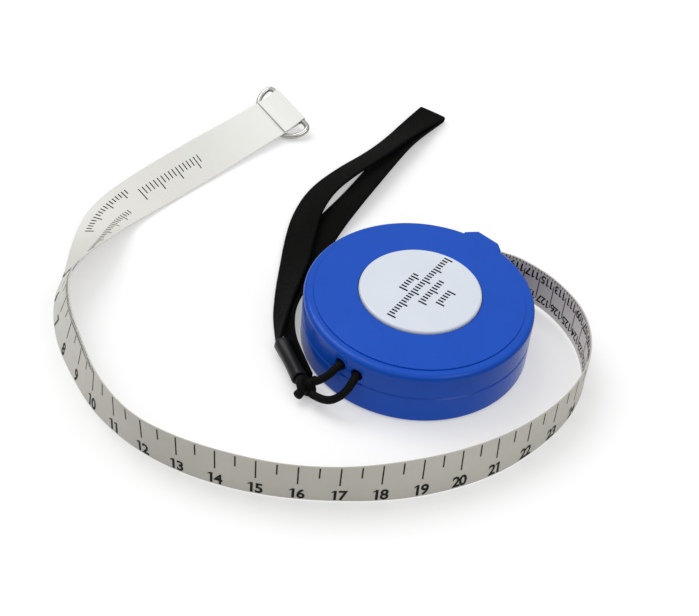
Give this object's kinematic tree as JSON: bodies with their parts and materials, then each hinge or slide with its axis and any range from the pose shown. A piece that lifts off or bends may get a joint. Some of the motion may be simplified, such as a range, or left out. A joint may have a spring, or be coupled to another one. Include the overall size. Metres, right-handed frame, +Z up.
{
  "type": "tape measure",
  "caption": "Round retractable cloth tape measure with a press-button brake, a spring reel, a ring at the tape's folded end and a wrist strap.",
  "frame": {"origin": "on the axis of the round case and the push button, in the case's flat bottom face", "axes": "+Z up through the push button, -Y towards the middle of the free loop of tape, +X to the side where the tape leaves the case"},
  "size_m": [0.1406, 0.164, 0.0179],
  "materials": {
    "case_plastic": "gloss moulded",
    "button_plastic": "gloss moulded",
    "inner_plastic": "moulded",
    "brake_rubber": "matt",
    "spring_steel": "bright spring steel",
    "screw_steel": "zinc plated",
    "tape_cloth": "coated glass-fibre cloth, satin",
    "ring_chrome": "plated wire",
    "strap_fabric": "woven polyester",
    "ferrule_plastic": "gloss sleeve"
  },
  "bodies": {
    "case": {"front_cover": "case_plastic", "rear_cover": "case_plastic", "case_screws": "screw_steel", "spring_arbor": "inner_plastic", "arbor_clip": "spring_steel", "thrust_washer": "inner_plastic", "button_spring": "spring_steel", "main_spring": "spring_steel", "strap_cord": "strap_fabric"},
    "button": {"push_button": "button_plastic", "brake_spider": "inner_plastic", "brake_pad": "brake_rubber", "stem_clip": "spring_steel"},
    "reel": {"reel_drum": "inner_plastic", "reel_lid": "inner_plastic", "tape_coil": "tape_cloth"},
    "tape": {"tape_blade": "tape_cloth", "tape_end_loop": "tape_cloth"},
    "ring": {"end_ring": "ring_chrome"},
    "strap": {"strap_knot": "strap_fabric", "strap_ferrule": "ferrule_plastic", "strap_webbing_outer": "strap_fabric", "strap_webbing_inner": "strap_fabric"}
  },
  "joints": [
    {"name": "button_press", "type": "slide", "parent": "case", "child": "button", "axis": [0, 0, -1], "range_m": [0, 0.0015], "stiffness_N_per_m": 1500, "springref_m": -0.0015, "deforming": ["button_spring"]},
    {"name": "tape_pull", "type": "slide", "parent": "case", "child": "tape", "axis": [0.9925, -0.1219, 0], "range_m": [-0.002, 0.015]},
    {"name": "reel_spin", "type": "hinge", "parent": "case", "child": "reel", "pos_m": [0, 0, 0.008], "axis": [0, 0, 1], "range_deg": [-40, 10], "deforming": ["main_spring"]},
    {"name": "ring_swing", "type": "hinge", "parent": "tape", "child": "ring", "pos_m": [-0.04264, 0.09154, 0.00591], "axis": [0.7338, -0.5871, -0.3418], "range_deg": [0, 200]},
    {"name": "strap_lift", "type": "hinge", "parent": "case", "child": "strap", "pos_m": [-0.0268, -0.0248, 0.0033], "axis": [0.9848, -0.1736, 0], "range_deg": [0, 80]}
  ],
  "couplings": [
    {"joint": "reel_spin", "follows": "tape_pull", "rad_per_m": -41}
  ]
}
